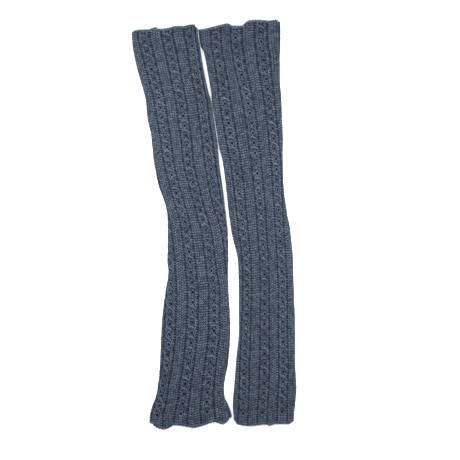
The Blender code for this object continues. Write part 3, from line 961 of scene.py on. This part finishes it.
# The mock cables: three wales in cells of four rows. A stitch passed over the other two
# gathers each cell, a yarn-over then opens an eyelet, and the wales spread round it.
CABLE_LEG = (            # as KNIT_LEG, in the wales that spread round an eyelet
    (0.30, -2.4, -0.9, 0.0),
    (0.50, -1.55, -0.05, 0.53),
    (0.95, -0.23, 0.35, 0.67),
    (1.44, 0.9, 0.05, 0.64),
    (1.53, 1.8, -0.9, 0.0),
)
# The last column is painted shade that each stitch gets besides that of its depth.
CABLE_COLUMNS = ("row", "aside", "depth", "lean", "turn", "wide", "tall", "painted_shade")
CABLE_STITCHES = (
    (0, -5.7, 1.2, -10, 2, 1.05, 1.0, 0.0),
    (0, 5.7, 1.2, 10, -2, 1.05, 1.0, 0.0),
    (1, -5.4, 1.2, -10, -16, 1.05, 1.0, 0.05),
    (1, 0.0, 1.6, 0, 0, 0.95, 0.85, 0.4),
    (1, 5.4, 1.2, 10, 16, 1.05, 1.0, 0.05),
    (2, -4.3, 1.6, -8, -28, 1.1, 1.0, 0.3),
    (2, 0.0, 1.8, 0, 0, 0.95, 1.05, 0.4),
    (2, 4.3, 1.6, 8, 28, 1.1, 1.0, 0.3),
    (3, -5.1, 1.3, -8, 30, 1.05, 1.0, 0.1),
    (3, 0.0, 1.7, 0, 0, 0.95, 0.8, 0.4),
    (3, 5.1, 1.3, 8, -30, 1.05, 1.0, 0.1),
)
CABLE = [dict(zip(CABLE_COLUMNS, row)) for row in CABLE_STITCHES]
PLAIN_CABLE_WALES = ((-5.0, 1.4, -12), (0.0, 1.3, 0), (5.0, 1.4, 12))    # in the end bands
PLAIN_STITCH_WIDE = 1.15


def cable_places(leg):
    """Places of the knit stitches of all mock cables, row by row."""
    rows, _ = knitted_rows(leg)
    places = []
    for repeat in range(REPEATS_ROUND):
        middle = repeat * REPEAT_WIDTH
        for up, row, in_cables in rows:
            if not in_cables:
                for aside, depth, lean in PLAIN_CABLE_WALES:
                    places.append(place_of(middle + aside, up, depth, lean,
                                           wide=PLAIN_STITCH_WIDE))
                continue
            for stitch in CABLE:
                if stitch["row"] == row:
                    places.append(place_of(middle + stitch["aside"], up, stitch["depth"],
                                           stitch["lean"], stitch["turn"], stitch["wide"],
                                           stitch["tall"], stitch["painted_shade"]))
    return places


cable_stitch = yarn_runs("cable_stitch", [CABLE_LEG, mirrored(CABLE_LEG)])
cables_left = knit("cables_left", LEFT_LEG, cable_places(LEFT_LEG), cable_stitch, seed=31)
cables_right = knit("cables_right", RIGHT_LEG, cable_places(RIGHT_LEG), cable_stitch, seed=32)

# The eyelets: each yarn-over is one loop of yarn that rounds its hole, inside the wales that
# spread beside it, so that a cell of the cable shows as one ring within another.
LOOP_HALF_WIDTH = 2.7
LOOP_HALF_HEIGHT = 3.3
LOOP_TURN = 15           # degrees that a hole slants, its upper end towards the left
LOOP_OUT = 0.1
LOOP_RADIUS = 0.5        # of its yarn
LOOP_RINGS = 8           # round the loop
LOOP_FOOT = (0.5, 0.6, -0.9)    # how far aside, below and out its two ends lie
LOOP_OPENING = 20               # degrees left between the ends
LOOP_DEPTH = 1.35
LOOP_UNEVEN = 0.1


def eyelet_loop():
    """The run of yarn round a hole, from its foot on the right round to its foot on the left."""
    aside, below, out = LOOP_FOOT
    run = [(aside, -LOOP_HALF_HEIGHT - below, out, 0.0)]
    for ring in range(LOOP_RINGS):
        swept = (360 - LOOP_OPENING) * ring / (LOOP_RINGS - 1)
        turn = math.radians(swept + LOOP_OPENING / 2 - 90)
        run.append((LOOP_HALF_WIDTH * math.cos(turn), LOOP_HALF_HEIGHT * math.sin(turn),
                    LOOP_OUT, LOOP_RADIUS))
    run.append((-aside, -LOOP_HALF_HEIGHT - below, out, 0.0))
    return run


def eyelet_places(leg):
    """Places of the loops, one in each cell."""
    rows, _ = knitted_rows(leg)
    return [place_of(repeat * REPEAT_WIDTH, up, LOOP_DEPTH, turn=LOOP_TURN)
            for repeat in range(REPEATS_ROUND)
            for up, row, in_cables in rows if in_cables and row == 0]


loop_stitch = yarn_runs("loop_stitch", [eyelet_loop()])
eyelets_left = knit("eyelets_left", LEFT_LEG, eyelet_places(LEFT_LEG), loop_stitch, seed=61,
                    uneven_size=LOOP_UNEVEN, uneven_turn=LOOP_UNEVEN)
eyelets_right = knit("eyelets_right", RIGHT_LEG, eyelet_places(RIGHT_LEG), loop_stitch, seed=62,
                     uneven_size=LOOP_UNEVEN, uneven_turn=LOOP_UNEVEN)

# The wraps: the stitch that was passed over lies slantwise across the gathered wales, as two
# runs of yarn side by side that dive back into the cloth at both ends.
WRAP_ROW = 2             # rows from an eyelet up to the next wrap
WRAP_RUN = (             # in the columns of KNIT_LEG
    (-5.5, 0.6, -1.2, 0.0),
    (-4.2, 1.5, -0.1, 0.46),
    (-1.3, 1.8, 0.6, 0.55),
    (2.0, 0.4, 0.6, 0.55),
    (4.6, -2.2, -0.1, 0.48),
    (5.5, -3.8, -1.2, 0.0),
)
WRAP_STRANDS = 0.55      # mm, how far each run lies from the wrap's middle
WRAP_DEPTH = 1.2
# Painted shade that each wrap gets.
WRAP_PAINTED_SHADE = 0.2
WRAP_UNEVEN = 0.12


def wrap_places(leg):
    """Places of the wraps, one in each cell."""
    rows, _ = knitted_rows(leg)
    return [place_of(repeat * REPEAT_WIDTH, up, WRAP_DEPTH, painted_shade=WRAP_PAINTED_SHADE)
            for repeat in range(REPEATS_ROUND)
            for up, row, in_cables in rows if in_cables and row == WRAP_ROW]


wrap_stitch = yarn_runs("wrap_stitch", [
    [(across, up + strand, out, radius) for across, up, out, radius in WRAP_RUN]
    for strand in (-WRAP_STRANDS, WRAP_STRANDS)])
wraps_left = knit("wraps_left", LEFT_LEG, wrap_places(LEFT_LEG), wrap_stitch, seed=41,
                  uneven_size=WRAP_UNEVEN, uneven_turn=WRAP_UNEVEN)
wraps_right = knit("wraps_right", RIGHT_LEG, wrap_places(RIGHT_LEG), wrap_stitch, seed=42,
                   uneven_size=WRAP_UNEVEN, uneven_turn=WRAP_UNEVEN)

# The cast-on and the bind-off: a chain of links of the same yarn lies along each open end,
# all the way round, and rounds the end of the tube off.
LINKS_ROUND = 54
LINK_DEPTH = 1.2
LINK_SIZE = 1.15         # share of a knit stitch's size
LINK_TURN = 90           # degrees, so that a link lies along the end
LINK_INSET = 0.6         # mm from the chart's end
FOOT_RIM_PAINTED_SHADE = 0.5    # painted shade; the foot's rim turns down and gets more
THIGH_RIM_PAINTED_SHADE = 0.25


def edge_places(leg):
    """Links along both rims, turned to run round the tube."""
    spacing = REPEATS_ROUND * REPEAT_WIDTH / LINKS_ROUND
    rims = ((LINK_INSET, LINK_TURN, FOOT_RIM_PAINTED_SHADE),
            (chart_length(leg) - LINK_INSET, -LINK_TURN, THIGH_RIM_PAINTED_SHADE))
    return [place_of(link * spacing, up, LINK_DEPTH, turn=turn, wide=LINK_SIZE, tall=LINK_SIZE,
                     painted_shade=painted_shade)
            for up, turn, painted_shade in rims
            for link in range(LINKS_ROUND)]


edges_left = knit("edges_left", LEFT_LEG, edge_places(LEFT_LEG), knit_stitch, seed=51)
edges_right = knit("edges_right", RIGHT_LEG, edge_places(RIGHT_LEG), knit_stitch, seed=52)
